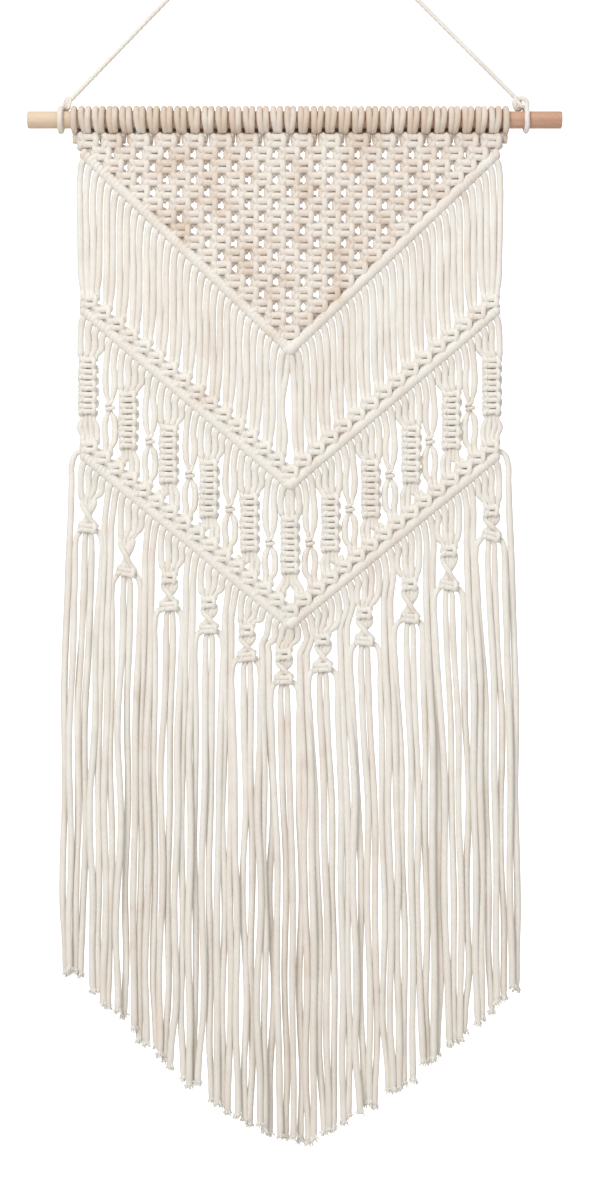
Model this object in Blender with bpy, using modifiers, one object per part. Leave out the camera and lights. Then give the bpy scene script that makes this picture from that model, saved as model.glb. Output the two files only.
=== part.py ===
"""Macrame wall hanging on a wooden dowel, in metres, +Z up.

The origin is the hang point: the underside of the hanger cord at the top of its bend.
The cloth hangs in the XZ plane and faces -Y.  Its strands are flat-sided ribbons of one
layout, welded where they meet in a knot or a bar.  Each layout is drawn in the XZ plane,
thickened along Y, and its knots are then raised on both faces.
"""
import math
from collections import namedtuple

import bmesh
import bpy
from mathutils import Vector

# ---- cord and strands ----
CORD_DIAMETER = 0.004
GAP = 0.0003                # between separate pieces
STRANDS = 64                # 32 doubled cords
STRAND_WIDTH = 0.0038
STRAND_DEPTH = 0.0036
CLOTH_Y = 0.002             # the cloth hangs a little behind the dowel's axis

# ---- dowel and hanger ----
DOWEL_RADIUS = 0.00635
DOWEL_LENGTH = 0.395
DOWEL_X = 0.0035
DOWEL_Z = -0.1776
DOWEL_BEVEL = 0.0005

HITCH_RING_RADIUS = 0.0085
HITCH_CORD_RADIUS = 0.0018
Hitch = namedtuple("Hitch", "name ring_x knot_x knot_z knot_width knot_height")
HITCHES = (
    Hitch("hanger_hitch_left", -0.1691, -0.1652, -0.1655, 0.0066, 0.0088),
    Hitch("hanger_hitch_right", 0.1738, 0.1716, -0.1655, 0.0108, 0.0096),
)
HITCH_KNOT_DEPTH = 0.0074

HANGER_BEND_RADIUS = 0.009            # of the middle of the cord, over a nail: limp cord bends no tighter
HANGER_BEND_STEPS = 4
HANGER_SPACING = 0.0115

# ---- heading: one lark's head for each doubled cord ----
HEAD_PITCH = 0.0101
HEAD_CREST = 0.0105
HEAD_VALLEY = 0.0090
HEAD_SIDES = 8
HEAD_BORE = 0.0073

# ---- net of alternating square knots ----
NET_ROWS = 16
KNOT_PITCH = 2 * HEAD_PITCH
ROW_PITCH = 0.0094
NET_TOP_Z = DOWEL_Z - HEAD_CREST - GAP
FIRST_ROW_Z = -0.1935
HOLE_HALF_WIDTH = 0.0021
HOLE_HALF_HEIGHT = 0.0026
TOP_HOLE_HALF_HEIGHT = 0.0034
NET_RISE = 0.0030           # of a knot's middle above the strands' faces

# ---- chevrons: bars that run down from both edges to the middle ----
Chevron = namedtuple("Chevron", "edge_z apex_z half_width")
FIRST = Chevron(-0.2010, -0.3478, 0.1547)
SECOND = Chevron(-0.3180, -0.4477, 0.1535)
THIRD = Chevron(-0.4230, -0.5506, 0.1563)
FIRST_BAR_HALF = 0.0060     # half the bar's height, measured upright
FIRST_BAR_END = 0.1595
BAR_HALF = 0.0046
CHAIN_HEIGHT = 0.0095       # row of knots that lies on the bar
CHAIN_NOTCH = 0.0022
BAR_RISE = 0.0030
CHAIN_RISE = 0.0034

BAND_PITCH = 0.00494        # between strands in the bands
HEM_PITCH = 0.00536         # between the fringe's ends

# ---- ladder band ----
COLUMNS = 11                # square knots tied in stacks, four strands each
COLUMN_PITCH = 0.0299
COLUMN_DROP = 0.0318        # from the second bar's middle to the stack's top
MIDDLE_COLUMN_DROP = 0.0230
COLUMN_KNOTS = 5
COLUMN_HEIGHT = 0.0425
COLUMN_HALF_WIDTH = 0.0072
COLUMN_NECK = 0.0058
COLUMN_RISE = 0.0030
PAIR_KNOT_DROP = 0.0518     # knots that tie the two strands between two stacks
PAIR_KNOT_HEIGHT = 0.0062
PAIR_KNOT_HALF_WIDTH = 0.0036
PAIR_KNOT_NECK = 0.0029
PAIR_SPREAD = 0.0046        # half the oval that opens under such a knot
OVAL_START = 0.25           # shares of the way down to the third bar
OVAL_END = 0.70

# ---- twisted stacks under the third bar ----
Twist = namedtuple("Twist", "x drop height")
TWISTS = (
    Twist(-0.1495, 0.0348, 0.0215),
    Twist(-0.1210, 0.0385, 0.0244),
    Twist(-0.0892, 0.0355, 0.0266),
    Twist(-0.0600, 0.0300, 0.0252),
    Twist(-0.0318, 0.0274, 0.0252),
    Twist(-0.0044, 0.0229, 0.0244),
    Twist(0.0244, 0.0281, 0.0263),
    Twist(0.0551, 0.0337, 0.0263),
    Twist(0.0888, 0.0400, 0.0307),
    Twist(0.1177, 0.0388, 0.0311),
    Twist(0.1491, 0.0348, 0.0241),
)
TWIST_RADIUS = 0.0054
TWIST_WAIST = 0.0044
TWIST_STEPS = 8             # an eighth of a turn each
TWIST_HEAD = 0.0040         # flat knot above and below the twist
TWIST_HEAD_HALF_WIDTH = 0.0066
TWIST_RISE = 0.0020

# ---- fringe ----
STRIP_HEIGHT = 0.0030
STRIP_GAP = 0.0004          # upright, which leaves GAP square to the slope
HEM_EDGE_Z = -0.8090
HEM_APEX_Z = -0.9350
HEM_APEX_X = 0.0120
HEM_HALF_WIDTH = 0.1690
HEM_CURVE = 1.3
TAIL_PARTS = 4
TAIL_WAVE = 0.0016
TAIL_BULGE = 0.0040
TAIL_TURNS = 24.0           # radians of wave for each metre of drop
TAIL_PHASE = 0.35           # between neighbours, small enough that they stay apart
FLARE_DROP = 0.0120


# ---- materials and collections ----

def make_material(name, colour, roughness):
    material = bpy.data.materials.new(name)
    material.use_nodes = True
    shader = material.node_tree.nodes["Principled BSDF"]
    shader.inputs["Base Color"].default_value = (*colour, 1.0)
    shader.inputs["Roughness"].default_value = roughness
    shader.inputs["Metallic"].default_value = 0.0
    return material


def clear_scene():
    for obj in list(bpy.data.objects):
        bpy.data.objects.remove(obj, do_unlink=True)


def add_object(name, mesh, collection, material):
    obj = bpy.data.objects.new(name, mesh)
    collection.objects.link(obj)
    mesh.materials.clear()
    mesh.materials.append(material)
    return obj


def move_to(obj, collection):
    for owner in list(obj.users_collection):
        owner.objects.unlink(obj)
    collection.objects.link(obj)


# ---- flat layouts that are thickened ----

class Layout:
    """Cells in the XZ plane that share their corners, each with the rise of its middle."""

    def __init__(self):
        self.bm = bmesh.new()
        self.rise = self.bm.faces.layers.float.new("rise")
        self.corners = {}

    def corner(self, x, z, y=0.0):
        key = (round(x * 1e6), round(z * 1e6))
        if key not in self.corners:
            self.corners[key] = self.bm.verts.new((x, y, z))
        return self.corners[key]

    def cell(self, points, rise=0.0):
        face = self.bm.faces.new([self.corner(*point) for point in points])
        face[self.rise] = rise

    def ribbon(self, rows, rise=0.0):
        """Quads between rows, which are pairs of a left and a right corner."""
        for (left, right), (next_left, next_right) in zip(rows, rows[1:]):
            self.cell([left, right, next_right, next_left], rise)

    def thicken(self, name, collection, material, shape=None):
        """Makes the solid: both faces, their rims, and the raised middles."""
        bm = self.bm
        made = bmesh.ops.extrude_face_region(bm, geom=bm.faces[:])
        front = [item for item in made["geom"] if isinstance(item, bmesh.types.BMVert)]
        bmesh.ops.translate(bm, verts=front, vec=(0.0, -STRAND_DEPTH, 0.0))
        bmesh.ops.translate(bm, verts=bm.verts[:], vec=(0.0, CLOTH_Y + STRAND_DEPTH / 2, 0.0))
        bmesh.ops.recalc_face_normals(bm, faces=bm.faces[:])
        if shape is not None:
            shape(bm)
        raised = {}
        for face in bm.faces:
            if abs(face.normal.y) > 0.9 and face[self.rise] > 0.0:
                raised.setdefault(round(face[self.rise], 5), []).append(face)
        for rise, faces in raised.items():
            bmesh.ops.poke(bm, faces=faces, offset=rise)
        mesh = bpy.data.meshes.new(name)
        bm.to_mesh(mesh)
        bm.free()
        return add_object(name, mesh, collection, material)


def chevron_z(chevron, x, lift=0.0):
    slope = (chevron.edge_z - chevron.apex_z) / chevron.half_width
    return chevron.apex_z + slope * abs(x) + lift


def strand_x(index, pitch=BAND_PITCH):
    return (index - (STRANDS - 1) / 2) * pitch


def row_on(chevron, x, lift):
    """A strand's two corners where it meets a line above or below a chevron's middle."""
    left, right = x - STRAND_WIDTH / 2, x + STRAND_WIDTH / 2
    return (left, chevron_z(chevron, left, lift)), (right, chevron_z(chevron, right, lift))


def row_at(x, z, y=0.0):
    return (x - STRAND_WIDTH / 2, z, y), (x + STRAND_WIDTH / 2, z, y)


def strand_corners(chevron, pair, lift, notch):
    """The corners of one pair's strands along a line, from the pair's left to its right."""
    start, end = strand_x(2 * pair - 0.5), strand_x(2 * pair + 1.5)
    points = [(start, chevron_z(chevron, start, lift + notch))]
    for index in (2 * pair, 2 * pair + 1):
        points.extend(row_on(chevron, strand_x(index), lift))
    points.append((end, chevron_z(chevron, end, lift + notch)))
    return points


def add_knotted_bar(layout, chevron):
    """A chain of small knots, one for each pair of strands, and the smooth bar under it."""
    for pair in range(STRANDS // 2):
        top = strand_corners(chevron, pair, BAR_HALF + CHAIN_HEIGHT, -CHAIN_NOTCH)
        start, end = top[0][0], top[-1][0]
        middle = [(x, chevron_z(chevron, x, BAR_HALF)) for x in (end, start)]
        bottom = [(x, chevron_z(chevron, x, -BAR_HALF)) for x in (start, end)]
        layout.cell(top + middle, CHAIN_RISE)
        layout.cell([middle[1], middle[0], bottom[1], bottom[0]], BAR_RISE)


# ---- dowel, hitches and hanger ----

def build_dowel(collection, material):
    bpy.ops.mesh.primitive_cylinder_add(
        vertices=32, radius=DOWEL_RADIUS, depth=DOWEL_LENGTH,
        location=(DOWEL_X, 0.0, DOWEL_Z), rotation=(0.0, math.pi / 2, 0.0))
    dowel = bpy.context.object
    dowel.name = "dowel"
    dowel.data.materials.append(material)
    bevel = dowel.modifiers.new("softened ends", "BEVEL")
    bevel.width = DOWEL_BEVEL
    bevel.segments = 1
    bevel.limit_method = "ANGLE"
    bevel.angle_limit = math.radians(50)
    dowel.data.shade_smooth()
    dowel.data.set_sharp_from_angle(angle=math.radians(40))
    move_to(dowel, collection)


def build_hitch(hitch, collection, guides, material):
    """A turn of cord round the dowel, joined with the knot that holds the hanger."""
    bpy.ops.mesh.primitive_torus_add(
        major_segments=16, minor_segments=6, major_radius=HITCH_RING_RADIUS,
        minor_radius=HITCH_CORD_RADIUS, location=(hitch.ring_x, 0.0, DOWEL_Z),
        rotation=(0.0, math.pi / 2, 0.0))
    ring = bpy.context.object
    ring.name = hitch.name
    ring.data.materials.append(material)
    bpy.ops.mesh.primitive_uv_sphere_add(segments=10, ring_count=6, radius=0.5)
    knot = bpy.context.object
    knot.name = hitch.name + "_knot"
    knot.scale = (hitch.knot_width, HITCH_KNOT_DEPTH, hitch.knot_height)
    knot.location = (hitch.knot_x, 0.0, hitch.knot_z)
    knot.hide_render = True
    knot.display_type = "WIRE"
    union = ring.modifiers.new("knot", "BOOLEAN")
    union.operation = "UNION"
    union.object = knot
    move_to(ring, collection)
    move_to(knot, guides)


def hanger_foot(hitch, crown):
    """The cord's end, just clear of the knot's surface on the side towards the bend."""
    knot = Vector((hitch.knot_x, hitch.knot_z))
    line = (crown - knot).normalized()
    radius = 1.0 / math.hypot(2 * line.x / hitch.knot_width, 2 * line.y / hitch.knot_height)
    return knot + line * (radius + GAP)


def hanger_route():
    """Two straight runs from the knots, joined by a bend over a nail at the origin."""
    crown = Vector((0.0, CORD_DIAMETER / 2 - HANGER_BEND_RADIUS))
    runs, angles = [], []
    for hitch, side, turn in zip(HITCHES, (-1.0, 1.0), (2 * math.pi, 0.0)):
        foot = hanger_foot(hitch, crown)
        reach = foot - crown
        tangent = math.acos(HANGER_BEND_RADIUS / reach.length)
        angle = math.atan2(reach.y, reach.x) + side * tangent + turn
        touch = crown + HANGER_BEND_RADIUS * Vector((math.cos(angle), math.sin(angle)))
        steps = round((foot - touch).length / HANGER_SPACING)
        runs.append([foot.lerp(touch, step / steps) for step in range(steps + 1)])
        angles.append(angle)
    bend = []
    for step in range(1, HANGER_BEND_STEPS):
        angle = angles[0] + (angles[1] - angles[0]) * step / HANGER_BEND_STEPS
        bend.append(crown + HANGER_BEND_RADIUS * Vector((math.cos(angle), math.sin(angle))))
    return runs[0] + bend + runs[1][::-1]


def build_hanger(collection, material):
    curve = bpy.data.curves.new("hanger_cord", "CURVE")
    curve.dimensions = "3D"
    curve.bevel_depth = CORD_DIAMETER / 2
    curve.bevel_resolution = 2
    curve.use_fill_caps = True
    route = hanger_route()
    spline = curve.splines.new("POLY")
    spline.points.add(len(route) - 1)
    for point, (x, z) in zip(spline.points, route):
        point.co = (x, 0.0, z, 1.0)
    curve.materials.append(material)
    collection.objects.link(bpy.data.objects.new("hanger_cord", curve))


# ---- knotted cloth ----

def build_heading(collection, material):
    """The row of lark's heads as a ribbed sleeve, turned round the dowel's axis."""
    heads = STRANDS // 2
    half = heads / 2 * HEAD_PITCH
    outline = [(-half, HEAD_BORE), (-half, HEAD_VALLEY)]
    for head in range(heads):
        x = -half + (head + 0.5) * HEAD_PITCH
        outline.append((x, HEAD_CREST))
        outline.append((x + HEAD_PITCH / 2, HEAD_VALLEY))
    outline.append((half, HEAD_BORE))
    mesh = bpy.data.meshes.new("lark_head_row")
    count = len(outline)
    mesh.from_pydata([(x, 0.0, -radius) for x, radius in outline],
                     [((i + 1) % count, i) for i in range(count)], [])
    heading = add_object("lark_head_row", mesh, collection, material)
    heading.location = (0.0, 0.0, DOWEL_Z)
    turn = heading.modifiers.new("turned", "SCREW")
    turn.axis = "X"
    turn.steps = HEAD_SIDES
    turn.render_steps = HEAD_SIDES
    turn.use_merge_vertices = True
    turn.merge_threshold = 0.00001


def knot_centre(row, place):
    return (place - (NET_ROWS - row - 1) / 2) * KNOT_PITCH, FIRST_ROW_Z - row * ROW_PITCH


def gap_tips(row, x):
    """A gap's tips by name; the top row's gaps reach nearer to the heading."""
    z = FIRST_ROW_Z - row * ROW_PITCH
    up = TOP_HOLE_HALF_HEIGHT if row == 0 else HOLE_HALF_HEIGHT
    return {"left": (x - HOLE_HALF_WIDTH, z), "right": (x + HOLE_HALF_WIDTH, z),
            "top": (x, z + up), "bottom": (x, z - HOLE_HALF_HEIGHT)}


def first_bar_edge(x):
    return x, chevron_z(FIRST, x, FIRST_BAR_HALF)


def net_knot(row, place):
    """A knot's four corners: tips of the gaps round it, or points on the bar's top edge."""
    last = NET_ROWS - row - 1
    x, z = knot_centre(row, place)
    slope = (FIRST.edge_z - FIRST.apex_z) / FIRST.half_width
    reach = (z - FIRST.apex_z - FIRST_BAR_HALF) / slope
    half = KNOT_PITCH / 2
    return {
        "left": gap_tips(row, x - half)["right"] if place > 0 else first_bar_edge(-reach),
        "right": gap_tips(row, x + half)["left"] if place < last else first_bar_edge(reach),
        "top": gap_tips(row - 1, x)["bottom"] if row > 0 else (x, NET_TOP_Z),
        "bottom": gap_tips(row + 1, x)["top"] if 0 < place < last else first_bar_edge(x),
    }


def add_net(layout):
    """Square knots, and between them the strands that part round each gap."""
    for row in range(NET_ROWS):
        for place in range(NET_ROWS - row):
            knot = net_knot(row, place)
            layout.cell([knot["left"], knot["top"], knot["right"], knot["bottom"]], NET_RISE)
            if row > 0:
                before, after = net_knot(row - 1, place), net_knot(row - 1, place + 1)
                layout.cell([knot["left"], before["bottom"], before["right"], knot["top"]])
                layout.cell([knot["top"], after["left"], after["bottom"], knot["right"]])
    for place in range(NET_ROWS - 1):
        knot, after = net_knot(0, place), net_knot(0, place + 1)
        x = (knot["top"][0] + after["top"][0]) / 2
        gap_top = gap_tips(0, x)["top"]
        layout.cell([knot["top"], (x, NET_TOP_Z), gap_top, knot["right"]])
        layout.cell([(x, NET_TOP_Z), after["top"], after["left"], gap_top])


def add_first_bar(layout):
    """The bar under the net; its top edge has the corners of each row's end knots."""
    def under(point):
        return point[0], chevron_z(FIRST, point[0], -FIRST_BAR_HALF)

    for side, name in ((-1, "left"), (1, "right")):
        end = (side * FIRST_BAR_END, NET_TOP_Z)
        knots = [net_knot(row, 0 if side < 0 else NET_ROWS - row - 1) for row in range(NET_ROWS)]
        layout.cell([knots[0]["top"], end, knots[0][name]])
        layout.cell([end, knots[0][name], under(knots[0][name]), under(end)], BAR_RISE)
        for knot, after in zip(knots, knots[1:]):
            top = [knot[name], knot["bottom"], after[name]]
            layout.cell(top + [under(after[name]), under(knot[name])], BAR_RISE)
        tip = knots[-1]
        layout.cell([tip[name], tip["bottom"], under(tip["bottom"]), under(tip[name])], BAR_RISE)


def build_net(collection, material):
    layout = Layout()
    add_net(layout)
    add_first_bar(layout)
    layout.thicken("net_panel", collection, material)


def build_upper_band(collection, material):
    """Free strands from the first bar to the second, which they are knotted into."""
    layout = Layout()
    for index in range(STRANDS):
        x = strand_x(index)
        layout.ribbon([row_on(FIRST, x, -FIRST_BAR_HALF - STRIP_GAP),
                       row_on(SECOND, x, BAR_HALF + CHAIN_HEIGHT)])
    add_knotted_bar(layout, SECOND)
    layout.thicken("upper_band", collection, material)


def shared_row(x, z, half_width, strands):
    """Rows for strands that lie side by side, each sharing its corners with the next."""
    step = 2 * half_width / strands
    edges = [(x - half_width + step * place, z) for place in range(strands + 1)]
    return list(zip(edges, edges[1:])), edges


def add_stack(layout, x, top):
    """A stack of square knots; returns its strands' rows at the top and at the bottom."""
    height = COLUMN_HEIGHT / COLUMN_KNOTS
    starts, upper = shared_row(x, top, COLUMN_NECK, 4)
    ends, lower = shared_row(x, top - COLUMN_HEIGHT, COLUMN_NECK, 4)
    for knot in range(COLUMN_KNOTS):
        z = top - knot * height
        above = upper if knot == 0 else [(x - COLUMN_NECK, z), (x + COLUMN_NECK, z)]
        bottom = z - height
        below = [(x - COLUMN_NECK, bottom), (x + COLUMN_NECK, bottom)]
        if knot == COLUMN_KNOTS - 1:
            below = lower
        sides = [(x + side * COLUMN_HALF_WIDTH, z - height / 2) for side in (1, -1)]
        layout.cell(above + [sides[0]] + below[::-1] + [sides[1]], COLUMN_RISE)
    return starts, ends


def build_ladder_band(collection, material):
    """Stacks of knots and small two-strand knots between the second and third bars."""
    layout = Layout()
    from_bar = -BAR_HALF - STRIP_GAP
    to_chain = BAR_HALF + CHAIN_HEIGHT
    for column in range(COLUMNS):
        x = (column - COLUMNS // 2) * COLUMN_PITCH
        drop = MIDDLE_COLUMN_DROP if column == COLUMNS // 2 else COLUMN_DROP
        starts, ends = add_stack(layout, x, chevron_z(SECOND, x) - drop)
        for place in range(4):
            home = strand_x(6 * column + place)
            foot = chevron_z(THIRD, home, to_chain)
            layout.ribbon([row_on(SECOND, home, from_bar), starts[place]])
            layout.ribbon([ends[place], row_at(home, (ends[place][0][1] + foot) / 2),
                           row_on(THIRD, home, to_chain)])
    for pair in range(COLUMNS - 1):
        x = (strand_x(6 * pair + 4) + strand_x(6 * pair + 5)) / 2
        top = chevron_z(SECOND, x) - PAIR_KNOT_DROP
        bottom = top - PAIR_KNOT_HEIGHT
        starts, upper = shared_row(x, top, PAIR_KNOT_NECK, 2)
        ends, lower = shared_row(x, bottom, PAIR_KNOT_NECK, 2)
        sides = [(x + side * PAIR_KNOT_HALF_WIDTH, (top + bottom) / 2) for side in (1, -1)]
        layout.cell(upper + [sides[0]] + lower[::-1] + [sides[1]], COLUMN_RISE)
        for place in range(2):
            home = strand_x(6 * pair + 4 + place)
            foot = chevron_z(THIRD, home, to_chain)
            bow = x + (2 * place - 1) * PAIR_SPREAD
            oval = [row_at(bow, bottom + (foot - bottom) * share) for share in (OVAL_START, OVAL_END)]
            layout.ribbon([row_on(SECOND, home, from_bar), starts[place]])
            layout.ribbon([ends[place]] + oval + [row_on(THIRD, home, to_chain)])
    add_knotted_bar(layout, THIRD)
    layout.thicken("ladder_band", collection, material)


# ---- fringe ----

def hem_z(x):
    share = min(abs(x - HEM_APEX_X) / HEM_HALF_WIDTH, 1.0)
    return HEM_APEX_Z + (HEM_EDGE_Z - HEM_APEX_Z) * share ** HEM_CURVE


def tail_rows(index, start_x, start_z):
    """A fringe strand's rows from where it hangs free down to the hem."""
    end_x = strand_x(index, HEM_PITCH)
    end_z = hem_z(end_x)
    rows = []
    for part in range(1, TAIL_PARTS + 1):
        share = part / TAIL_PARTS
        z = start_z + (end_z - start_z) * share
        turn = z * TAIL_TURNS + index * TAIL_PHASE
        x = start_x + (end_x - start_x) * share + TAIL_WAVE * share * math.sin(turn)
        rows.append(row_at(x, z, y=TAIL_BULGE * share * math.cos(turn)))
    return rows


def add_twist(layout, group, twist):
    """Flat knot, twisted stack and flat knot; returns the strands' rows under it."""
    top = chevron_z(THIRD, twist.x) - twist.drop
    starts, upper = shared_row(twist.x, top + TWIST_HEAD, TWIST_HEAD_HALF_WIDTH, 4)
    bottom = top - twist.height
    ends, lower = shared_row(twist.x, bottom - TWIST_HEAD, TWIST_HEAD_HALF_WIDTH, 4)
    corner = TWIST_RADIUS * math.sqrt(0.5)
    rows = []
    for step in range(TWIST_STEPS + 1):
        z = top - twist.height * step / TWIST_STEPS
        rows.append(((twist.x - corner, z), (twist.x + corner, z)))
    layout.cell(upper + list(rows[0][::-1]), TWIST_RISE)
    layout.ribbon(rows)
    layout.cell(list(rows[-1]) + lower[::-1], TWIST_RISE)
    for place in range(4):
        home = strand_x(6 * group + place)
        layout.ribbon([row_on(THIRD, home, strip_bottom()), starts[place]])
    return ends, rows


def strip_bottom():
    return -BAR_HALF - STRIP_GAP - STRIP_HEIGHT


def turn_twist(bm, twist, rows):
    """Turns each row's four corners about the stack's own axis, a little further each row."""
    for step, ((left, z), _) in enumerate(rows):
        waist = math.sin(math.pi * step / TWIST_STEPS)
        radius = TWIST_RADIUS + (TWIST_WAIST - TWIST_RADIUS) * waist
        for vert in bm.verts:
            if abs(vert.co.z - z) > 1e-6 or abs(vert.co.x - twist.x) > TWIST_RADIUS:
                continue
            angle = math.atan2(vert.co.y - CLOTH_Y, vert.co.x - twist.x)
            quarter = round((angle - math.pi / 4) / (math.pi / 2))
            angle = math.pi / 4 + quarter * math.pi / 2 + step * math.tau / TWIST_STEPS
            vert.co.x = twist.x + radius * math.cos(angle)
            vert.co.y = CLOTH_Y + radius * math.sin(angle)


def build_fringe(collection, material):
    """Strands from a narrow strip under the third bar, through the twists, to the hem."""
    layout = Layout()
    for pair in range(STRANDS // 2):
        lower = strand_corners(THIRD, pair, strip_bottom(), 0.0)
        upper = [(x, chevron_z(THIRD, x, -BAR_HALF - STRIP_GAP))
                 for x in (lower[0][0], lower[-1][0])]
        layout.cell(upper + lower[::-1])
    turned = []
    for group, twist in enumerate(TWISTS):
        ends, rows = add_twist(layout, group, twist)
        turned.append((twist, rows))
        z = ends[0][0][1] - FLARE_DROP
        for place in range(4):
            index = 6 * group + place
            x = twist.x + (place - 1.5) * BAND_PITCH
            layout.ribbon([ends[place], row_at(x, z)] + tail_rows(index, x, z))
    for pair, (before, after) in enumerate(zip(TWISTS, TWISTS[1:])):
        middle = (before.x + after.x) / 2
        top = chevron_z(THIRD, middle) - (before.drop + after.drop) / 2
        bottom = top - (before.height + after.height) / 2 - TWIST_HEAD - FLARE_DROP
        for place in range(2):
            index = 6 * pair + 4 + place
            x = middle + (place - 0.5) * BAND_PITCH
            rows = [row_on(THIRD, strand_x(index), strip_bottom()), row_at(x, top), row_at(x, bottom)]
            layout.ribbon(rows + tail_rows(index, x, bottom))

    def shape(bm):
        for twist, rows in turned:
            turn_twist(bm, twist, rows)

    layout.thicken("fringe", collection, material, shape)


def build():
    clear_scene()
    cotton = make_material("cotton cord", (0.86, 0.80, 0.72), 0.95)
    beech = make_material("beech", (0.72, 0.49, 0.31), 0.55)
    part = bpy.data.collections.new("macrame_wall_hanging")
    guides = bpy.data.collections.new("boolean_parts")
    for collection in (part, guides):
        bpy.context.scene.collection.children.link(collection)
    build_dowel(part, beech)
    for hitch in HITCHES:
        build_hitch(hitch, part, guides, cotton)
    build_hanger(part, cotton)
    build_heading(part, cotton)
    build_net(part, cotton)
    build_upper_band(part, cotton)
    build_ladder_band(part, cotton)
    build_fringe(part, cotton)


build()
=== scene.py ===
import math
import random

import bpy
import numpy as np
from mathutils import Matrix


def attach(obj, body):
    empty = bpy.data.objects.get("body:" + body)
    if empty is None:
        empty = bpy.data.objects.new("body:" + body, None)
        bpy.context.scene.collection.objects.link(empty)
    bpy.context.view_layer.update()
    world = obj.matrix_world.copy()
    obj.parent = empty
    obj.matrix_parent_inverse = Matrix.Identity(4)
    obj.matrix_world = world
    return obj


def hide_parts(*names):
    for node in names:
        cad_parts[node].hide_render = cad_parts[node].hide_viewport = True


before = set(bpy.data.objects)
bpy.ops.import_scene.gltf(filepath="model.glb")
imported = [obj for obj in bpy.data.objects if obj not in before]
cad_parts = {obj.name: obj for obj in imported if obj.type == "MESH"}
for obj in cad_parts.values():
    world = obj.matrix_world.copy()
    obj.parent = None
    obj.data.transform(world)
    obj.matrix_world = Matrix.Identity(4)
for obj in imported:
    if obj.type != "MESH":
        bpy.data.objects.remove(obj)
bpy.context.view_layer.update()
scene = bpy.context.scene

# Lengths in the tables are millimetres, in the part's own frame: x right, y to the wall, z up.
# Points of a cord are (x, y, z, radius).

camera = {"x": 3.7, "away": 1500.0, "z": -532.8, "viewHeight": 888.0, "sensor": 36.0}

cord = {
    "strands": 64,
    "radius": 2.47,  # loose single strand cotton, a little wider than its 4 mm
    "nominal": 2.0,  # radius that it is sold by; once round that is one unit of UV
    "sides": 8,
    "roundSides": 10,  # of the cords on the dowel, which show the most
    "same": 0.02,  # points closer than this count as one
    "straight": 9.0,  # points further apart than this make a straight run
    "fineStep": 1.5,  # between rings in a knot
    "longStep": 6.0,  # between rings in a straight run
    "clothY": 2.0,
    "seed": 11,
}
lastStrand = cord["strands"] - 1
middleStrand = lastStrand / 2
allStrands = range(cord["strands"])
heads = cord["strands"] // 2
middleHead = (heads - 1) / 2

dowel = {"x": 3.5, "z": -177.6, "length": 395.0}

dice = random.Random(cord["seed"])


def addObject(name, data):
    thing = bpy.data.objects.new(name, data)
    scene.collection.objects.link(thing)
    return thing


def placeCamera():
    lens = bpy.data.cameras.new("camera")
    lens.sensor_fit = "AUTO"
    lens.sensor_width = camera["sensor"]
    lens.lens = camera["sensor"] * camera["away"] / camera["viewHeight"]
    eye = addObject("camera", lens)
    eye.location = (camera["x"] / 1000, -camera["away"] / 1000, camera["z"] / 1000)
    eye.rotation_euler = (math.pi / 2, 0, 0)
    scene.camera = eye


def smoothPath(points):
    # a curve through the points, with rings closer together in the knots
    p = np.array(points, float)
    gap = np.linalg.norm(np.diff(p[:, :3], axis=0), axis=1)
    keep = np.concatenate([[True], gap > cord["same"]])
    p = p[keep]
    gap = np.linalg.norm(np.diff(p[:, :3], axis=0), axis=1)
    slope = np.diff(p, axis=0) / gap[:, None]
    lean = np.empty_like(p)
    lean[0], lean[-1] = slope[0], slope[-1]
    before, after = gap[:-1, None], gap[1:, None]
    lean[1:-1] = (slope[:-1] * after + slope[1:] * before) / (before + after)
    rings = []
    for k, length in enumerate(gap):
        step = cord["longStep"] if length > cord["straight"] else cord["fineStep"]
        count = max(1, round(length / step))
        t = (np.arange(count) / count)[:, None]
        rings.append((2 * t**3 - 3 * t**2 + 1) * p[k] + (t**3 - 2 * t**2 + t) * length * lean[k]
                     + (3 * t**2 - 2 * t**3) * p[k + 1] + (t**3 - t**2) * length * lean[k + 1])
    return np.vstack(rings + [p[-1:]])


def unit(v):
    return v / (np.linalg.norm(v) + 1e-12)


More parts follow.
